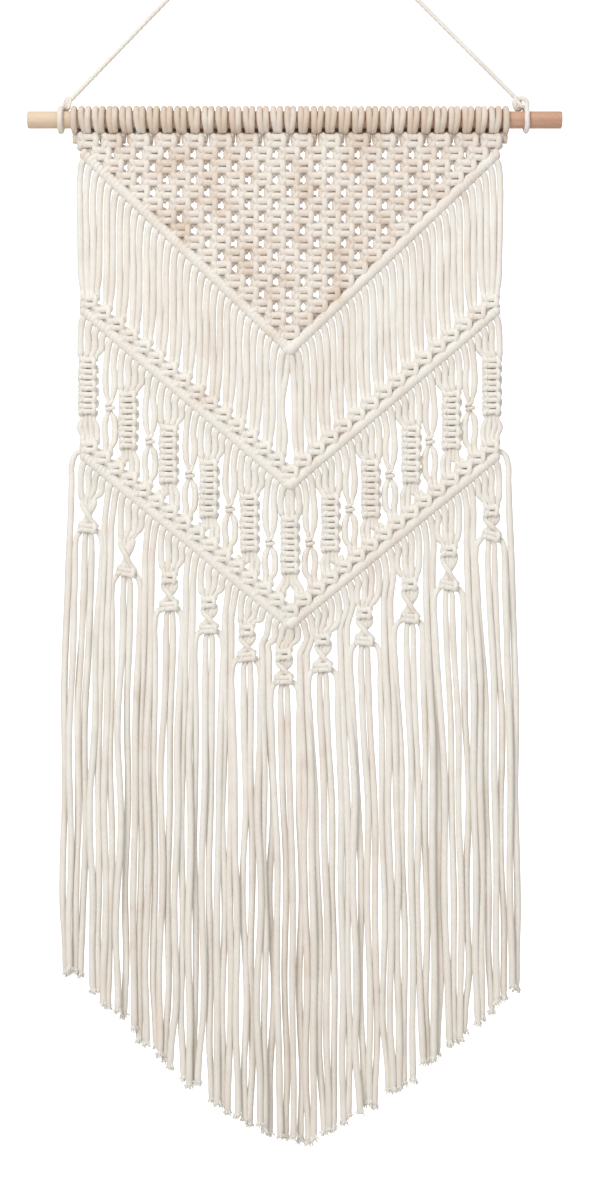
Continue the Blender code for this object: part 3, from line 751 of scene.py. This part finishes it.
def tieUpperBand():
    paths = [[] for _ in allStrands]
    for strand in allStrands:
        leaveBar(paths, strand, bars["first"])
        x, z = chainEntry(bars["second"], strand)
        goal = strandX(strand) + upper["aside"] * (x - strandX(strand))
        hangTo(paths, strand, goal, z + upper["above"], upper["sags"].get(strand, 0.0), upper["late"])
        meet(paths, strand, x, z, chain["tied"])
    closeBand(paths, bars["second"], "upper_strands", "upper_band")


tieUpperBand()
print("upper band tied")


ladder = {
    "columns": 11, "pitch": 29.9, "drop": 31.8, "middleDrop": 23.0,
    "knots": 5, "knot": {"halfWidth": 5.9, "height": 8.5, "tied": 1.85}, "uneven": 0.3,
    # where the four strands leave a stack: across, down, radius
    "leaving": [((-4.0, -1.5, 1.5, 4.0), 2.0, 1.8), ((-6.3, -2.2, 2.2, 6.3), 8.5, 2.3)],
    # a knot of two strands: the left one runs through it and the right one goes once round that
    "pairDrop": 54.6,
    "pairKnot": [
        (1.6, [(-1.2, 0, 4.5), (-0.9, 0.4, 1.5), (-0.6, 0.5, -1.2), (-1.4, 0, -4.5)]),
        (1.5, [(1.5, 0, 5.2), (1.0, -2.6, 2.6), (-1.9, -2.4, 1.3), (-2.6, 0.8, 0.5), (0.2, 2.6, -0.1),
               (2.7, 0.4, -0.5), (2.0, -2.6, -1.3), (-1.4, -2.7, -1.7), (-2.3, 0.4, -2.5),
               (0.4, 1.6, -3.2), (1.5, 0, -5.0)])],
    # above it they come down side by side, and below it they open to an oval: half gaps by
    # shares of the way, and how far from the knot and from the bar's middle these begin and end
    "pairAbove": 12.0,
    "pairGaps": [(0.4, 3.3), (1.0, 3.0)],
    "ovalSpan": (5.0, 22.0),
    "oval": [(0.12, 2.73), (0.28, 3.705), (0.55, 3.9), (0.85, 2.925)],
    "hangs": (16.0, 9.0),  # a strand that ends this far over its next knot hangs on to that
}


def stackOf(n):
    # of each six strands, four go to a stack and the last two hang between it and the next
    return range(6 * n, 6 * n + 4)


def pairOf(n):
    return (6 * n + 4, -1), (6 * n + 5, 1)


def leaveUnder(bar):
    # only the strands between the stacks hang free at once
    paths = [[] for _ in allStrands]
    for strand in allStrands:
        leaveBar(paths, strand, bar, free=strand % 6 > 3)
    return paths


def tieLadderBand():
    above, bar = bars["second"], bars["third"]
    paths = leaveUnder(above)
    knot, middle = ladder["knot"], ladder["columns"] // 2
    for column in range(ladder["columns"]):
        x = (column - middle) * ladder["pitch"]
        top = chevronZ(above, x) - (ladder["middleDrop"] if column == middle else ladder["drop"])
        gather(paths, stackOf(column), x, top, knot["halfWidth"])
        for n in range(ladder["knots"]):
            tieSquare(paths, stackOf(column), x + dice.uniform(-ladder["uneven"], ladder["uneven"]),
                      top - (n + 0.5) * knot["height"], knot)
        for across, down, radius in ladder["leaving"]:
            for aside, strand in zip(across, stackOf(column)):
                meet(paths, strand, x + aside, top - ladder["knots"] * knot["height"] - down, radius)
    for n in range(ladder["columns"] - 1):
        x = sum(strandX(strand) for strand, way in pairOf(n)) / 2
        top = chevronZ(above, x) - ladder["pairDrop"]
        under, over = ladder["ovalSpan"]
        bottom = chevronZ(bar, x) + over
        for (strand, way), (radius, spots) in zip(pairOf(n), ladder["pairKnot"]):
            start = paths[strand][-1][2]
            for share, gap in ladder["pairGaps"]:
                meet(paths, strand, x + way * gap, start + share * (top + ladder["pairAbove"] - start))
            for px, py, pz in spots:
                meet(paths, strand, x + px, top + pz, radius, py)
            for share, gap in ladder["oval"]:
                meet(paths, strand, x + way * gap, top - under + (bottom - top + under) * share)
    far, near = ladder["hangs"]
    for strand in allStrands:
        x, z = chainEntry(bar, strand)
        if paths[strand][-1][2] > z + far:
            hangTo(paths, strand, strandX(strand), z + near)
        meet(paths, strand, x, z, chain["tied"])
    closeBand(paths, bar, "ladder_knots", "ladder_band")


tieLadderBand()
print("ladder band tied")


twist = {
    "stacks": [  # middle of the stack, drop below the bar, height
        (-149.5, 33.0, 20.5), (-121.0, 38.5, 24.4), (-89.2, 35.5, 26.6), (-60.0, 30.0, 25.2),
        (-31.8, 27.4, 25.2), (-4.4, 22.9, 24.4), (24.4, 28.1, 26.3), (55.1, 33.7, 26.3),
        (88.8, 40.0, 30.7), (117.7, 38.8, 31.1), (149.1, 34.8, 24.1)],
    "plain": 2,  # the first stacks have no knot above the waist
    "gather": {"above": 2.5, "plain": 4.4, "knotted": 4.9},
    "upper": {"halfWidth": 4.9, "height": 9.2, "lift": 1.5, "overlap": 0.6, "tied": 1.8, "proud": 0.85},
    "lower": {"halfWidth": 6.2, "height": 6.6, "drop": 0.8, "overlap": 0.5, "tied": 1.872, "tilt": 14},
    "waist": [(0.0, 4.7, 0), (0.22, 4.0, 15), (0.45, 2.7, 55), (0.66, 1.7, 105),
              (0.84, 2.4, 150), (1.0, 4.2, 178)],  # share of the way down, half width, degrees turned
    "outer": {"cord": 2.15, "depth": 2.4, "forward": 0.4},
    "inner": {"cord": 2.0, "share": 0.36, "back": 0.3, "lean": 0.5},
    "arch": [(7.6, 0.2, 2.2), (10.4, -3.4, 2.3), (11.6, -9.5, 2.3)],  # out, up, radius
    "reach": (0.78, 1.0),  # how far an arch goes out, from the narrowest to the widest
    "under": [(2.2, -3.6, 2.1), (2.5, -11.0, 2.25)],  # the two inner tails
    "beside": {"lower": 4.0, "gap": 2.5, "back": 1.2},  # the two strands between two stacks
}

fringe = {
    # the cord that runs inside the bar comes out at both ends: out, up, radius
    "carrier": [(153.5, 0.8, 2.0), (158.4, -1.2, 2.2), (161.2, -7.0, 2.3), (161.8, -22.0, 2.4)],
    "pitch": 5.2, "radius": 2.56, "radii": (0.94, 1.06),
    "below": 20.0,  # a tail's own points start this far under the knots
    "settle": 120.0,  # over this length it swings in to its place
    "swing": 0.52,  # and takes this share of its way
    "uneven": 0.35,
    "hemEdge": -809.0, "hemApex": -935.0, "hemApexX": 12.0, "hemHalf": 169.0,
    "hemCurves": (1.52, 1.24),  # how far the cut edge bulges left and right of its point
    "cut": (-5.0, 4.0),  # how uneven the edge is
    "wave": {"size": 0.8, "sizes": (0.5, 1.4), "length": 150.0, "lengths": (0.93, 1.07)},
    "phase": (0.45, 0.6),  # from one tail to the next, and how far off that it may be
    "depth": (0.7, 0.8),  # of the wave to the front and back, and its share of the length
    "stray": {"odds": 0.06, "size": 1.9, "sizes": (0.7, 1.0), "forward": 1.5},  # a few wander further
    "clump": {"sizes": (1, 2, 2, 3, 4), "middle": (-0.5, 0.5), "leans": (0.8, 1.2)},
    "cling": 0.3,  # near the hem, tails lean this share of the way to their clump's middle
    "clingOver": 55.0,  # over this length
    "layers": (-2.4, -0.6, 1.2, 3.6),  # tails hang in front of and behind each other
    "layerStray": 0.4,
    # of a tail: how far apart, closer near its end, and none in the last stretch
    "points": {"apart": 23.0, "near": 60.0, "nearer": 14.0, "last": 7.0},
    "tip": [(0.6, 1.0), (0.94, 0.66)],  # shares of the way from the last point and of the radius
}

brush = {  # the last millimetres are soft yarns come untwisted
    "yarns": 38, "yarn": 0.4, "sides": 4, "long": 7.5, "longs": (0.8, 1.2),
    "thick": (1.0, 1.1, 0.7),  # shares of a yarn's radius at its root, waist and end
    "root": 0.7, "waist": 0.3, "waists": (0.85, 1.0), "flare": (1.15, 2.1), "ragged": (-2.2, 2.4),
}


def hemZ(x):
    share = min(abs(x - fringe["hemApexX"]) / fringe["hemHalf"], 1.0)
    curve = fringe["hemCurves"][0 if x < fringe["hemApexX"] else 1]
    return fringe["hemApex"] + (fringe["hemEdge"] - fringe["hemApex"]) * share**curve


def tieTwist(paths, strands, x, top, height, knotted):
    # a square knot, half a turn that draws its four strands in to a waist, then a short wide knot
    upper, lower, outer, inner = (twist[key] for key in ("upper", "lower", "outer", "inner"))
    begin, end = top + upper["lift"], top - height + lower["height"] - lower["overlap"]
    if knotted:
        tieSquare(paths, strands, x, top - upper["height"] / 2 + upper["lift"], upper)
        begin = top - upper["height"] + upper["overlap"]
    left, first, second, right = strands
    for share, half, degrees in twist["waist"]:
        z = begin + (end - begin) * share
        for strand, start in ((left, math.pi), (right, 0.0)):
            a = start + math.radians(degrees)
            meet(paths, strand, x + half * math.cos(a), z, outer["cord"],
                 outer["depth"] * math.sin(a) - outer["forward"])
        for strand, way in ((first, -1), (second, 1)):
            meet(paths, strand, x + way * half * inner["share"], z, inner["cord"],
                 inner["back"] - inner["lean"] * share)
    turned = [right, first, second, left]
    tieSquare(paths, turned, x, top - height + lower["height"] / 2 - lower["drop"], lower,
              dice.uniform(-lower["tilt"], lower["tilt"]))
    return turned


def sortClumps(count):
    # tails cling together in ones to fours near the hem: (lean, depth) of each one
    clumps, layer, clump = [], 0, fringe["clump"]
    while len(clumps) < count:
        size = dice.choice(clump["sizes"])
        middle = (size - 1) / 2 + dice.uniform(*clump["middle"])
        for k in range(size):
            lean = (middle - k) * fringe["pitch"] * fringe["cling"] * dice.uniform(*clump["leans"])
            layer = (layer + dice.choice((1, 2, 3))) % len(fringe["layers"])
            off = dice.uniform(-fringe["layerStray"], fringe["layerStray"])
            clumps.append((lean, fringe["layers"][layer] + off))
    return clumps


def ease(share):
    # from 0 to 1 with a slow start and a slow end
    share = min(1.0, max(0.0, share))
    return share * share * (3 - 2 * share)


def hangTail(path, place, lean, forward):
    # a tail swings in to its place in the row, hangs with a slow wave and leans into its clump
    full, wave, stray = 2 * math.pi, fringe["wave"], fringe["stray"]
    endX = strandX(place, fringe["pitch"]) + dice.uniform(-fringe["uneven"], fringe["uneven"])
    endZ = hemZ(endX + lean) + dice.uniform(*fringe["cut"])
    step, off = fringe["phase"]
    size, phase = wave["size"] * dice.uniform(*wave["sizes"]), place * step + dice.uniform(-off, off)
    if dice.random() < stray["odds"]:
        size, phase = stray["size"] * dice.uniform(*stray["sizes"]), dice.uniform(0, full)
        forward *= stray["forward"]
    length = wave["length"] * dice.uniform(*wave["lengths"])
    other = dice.uniform(0, full)
    depth, shorter = fringe["depth"]
    points, swing = fringe["points"], fringe["swing"]
    start = path[-1]
    z = start[2] - fringe["below"]
    while z > endZ:
        settle = ease((start[2] - z) / fringe["settle"])
        near = ease(1 - (z - endZ) / fringe["clingOver"])
        share = (start[2] - z) / (start[2] - endZ)
        x = start[0] + (endX - start[0]) * (settle * swing + share * (1 - swing))
        x += (1 - near) * size * settle * math.sin(full * z / length + phase) + near * lean
        y = cord["clothY"] + depth * math.sin(full * z / (length * shorter) + other)
        path.append((x, y + settle * forward, z, fringe["radius"] * dice.uniform(*fringe["radii"])))
        z -= points["apart"] if z - endZ > points["near"] else points["nearer"]
    if path[-1][2] < endZ + points["last"]:
        path.pop()
    last, tip = path[-1], (endX + lean, cord["clothY"] + forward, endZ)
    for share, thick in fringe["tip"]:
        spot = [last[k] + (tip[k] - last[k]) * share for k in range(3)]
        path.append((*spot, fringe["radius"] * thick))


def frayTip(bundle, tip, before):
    tip, way = np.array(tip[:3]), unit(np.array(tip[:3]) - np.array(before[:3]))
    for k in range(brush["yarns"]):
        a = dice.uniform(0, 2 * math.pi)
        inner = math.sqrt((k + 1) / brush["yarns"])
        rim = np.array([math.cos(a), math.sin(a), 0.0]) * fringe["radius"] * inner
        root = tip - way * brush["long"] * dice.uniform(*brush["longs"]) + rim * brush["root"]
        waist = tip - way * brush["long"] * brush["waist"] + rim * dice.uniform(*brush["waists"])
        end = tip + way * dice.uniform(*brush["ragged"]) + rim * dice.uniform(*brush["flare"])
        spots = [(*spot, brush["yarn"] * thick) for spot, thick in zip((root, waist, end), brush["thick"])]
        bundle.add(spots, sides=brush["sides"], tone=tipTone)


def hangFringe():
    bar, stacks = bars["third"], twist["stacks"]
    paths, order = leaveUnder(bar), list(allStrands)
    for n, (x, drop, height) in enumerate(stacks):
        strands = stackOf(n)
        top = chevronZ(bar, x) - drop
        knotted = n >= twist["plain"]
        gather(paths, strands, x, top + twist["gather"]["above"],
               twist["gather"]["knotted" if knotted else "plain"])
        turned = tieTwist(paths, strands, x, top, height, knotted)
        order[strands[0]:strands[0] + 4] = turned
        for k, way, route in ((0, -1, "arch"), (3, 1, "arch"), (1, -1, "under"), (2, 1, "under")):
            reach = dice.uniform(*twist["reach"]) if route == "arch" else 1
            for out, up, radius in twist[route]:
                meet(paths, turned[k], x + way * out * reach, top - height + up, radius)
    beside = twist["beside"]
    for n in range(len(stacks) - 1):
        x, drop, height = [(a + b) / 2 for a, b in zip(stacks[n], stacks[n + 1])]
        for strand, way in pairOf(n):
            for down in (drop + beside["lower"], drop + height / 2):
                meet(paths, strand, x + way * beside["gap"], chevronZ(bar, x) - down, None, beside["back"])
    for side in (-1, 1):
        order.insert(0 if side < 0 else len(order), len(paths))
        paths.append([(side * out, cord["clothY"], bar["edge"] + up, radius)
                      for out, up, radius in fringe["carrier"]])
    tails, ends = Bundle(), Bundle()
    clumps = sortClumps(len(order))
    for place, strand in enumerate(order):
        hangTail(paths[strand], place - 1, *clumps[place])
        half = tails if place < len(order) / 2 else ends
        half.add(paths[strand])
        frayTip(half, paths[strand][-1], paths[strand][-2])
    tails.tieOff("fringe_left", "fringe")
    ends.tieOff("fringe_right", "fringe")


hangFringe()
print("fringe hung")


studio = {
    "floorZ": -2.2, "wallY": 3.9, "wallTop": 3.0, "wide": 9.0, "glow": 1.0, "glowReach": 3.4,
    "ambient": 0.37,
    "aim": (0.0, 0.0, -0.5),
    "lamps": {  # place, size, watts, colour
        "key": ((-1.2, -2.4, 0.6), 1.4, 49.5, "#FFFDFA"),
        "fill": ((1.8, -2.0, -0.6), 1.8, 11.0, "#FFFFFF"),
        "top": ((0.0, -0.6, 1.4), 1.2, 9.0, "#FFFFFF"),
    },
}


def paint(name, colour, glow=0.0):
    # Matt white paint, faintly uneven as a roller leaves it. A glow fades out from its middle.
    material, tree, surface = startMaterial(name)
    place = addNode(tree, "TexCoord").outputs["Object"]
    uneven = addNode(tree, "TexNoise", {"Vector": place}, {"Scale": 30.0, "Detail": 3.0})
    bump = addNode(tree, "Bump", {"Height": uneven}, {"Strength": 0.05, "Distance": 0.001})
    setSockets(tree, surface, {"Normal": bump},
               {"Base Color": linear(colour), "Roughness": 0.9, "Emission Color": (1, 1, 1, 1)})
    if glow:
        reach = studio["glowReach"]
        near = addNode(tree, "Mapping", {"Vector": place},
                       {"Scale": [1 / reach] * 3, "Location": (0, 0, -camera["z"] / 1000 / reach)})
        ball = addNode(tree, "TexGradient", {"Vector": near}, gradient_type="SPHERICAL")
        fade = addNode(tree, "MapRange", {"Value": ball.outputs["Fac"]},
                       {"From Min": 0.0, "From Max": 0.35, "To Max": glow})
        setSockets(tree, surface, {"Emission Strength": fade}, {})
    return material


def addPlane(name, corners, material):
    mesh = bpy.data.meshes.new(name)
    mesh.from_pydata(corners, [], [[0, 1, 2, 3]])
    mesh.materials.append(material)
    plane = addObject(name, mesh)
    return plane


def setStudio():
    w, z, y = studio["wide"] / 2, studio["floorZ"], studio["wallY"]
    addPlane("floor", [(-w, -w, z), (w, -w, z), (w, y, z), (-w, y, z)], paint("floor paint", "#F4F2EF"))
    top = studio["wallTop"]
    addPlane("backdrop", [(-w, 0, z), (w, 0, z), (w, 0, top), (-w, 0, top)],
             paint("backdrop paint", "#FFFFFF", studio["glow"])).location[1] = y
    for name, (place, size, watts, colour) in studio["lamps"].items():
        lamp = bpy.data.lights.new(name, "AREA")
        lamp.energy, lamp.size, lamp.color = watts, size, linear(colour)[:3]
        holder = addObject(name, lamp)
        holder.location = place
        holder.visible_camera = False
        way = np.array(studio["aim"]) - np.array(place)
        tip, pan = math.acos(-way[2] / np.linalg.norm(way)), math.atan2(way[1], way[0]) - math.pi / 2
        holder.rotation_euler = (tip, 0, pan)
    world = bpy.data.worlds.new("room")
    world.use_nodes = True
    glow = world.node_tree.nodes["Background"]
    glow.inputs["Color"].default_value = (1, 1, 1, 1)
    glow.inputs["Strength"].default_value = studio["ambient"]
    scene.world = world
    scene.view_settings.view_transform = "Standard"


setStudio()
print("studio set")
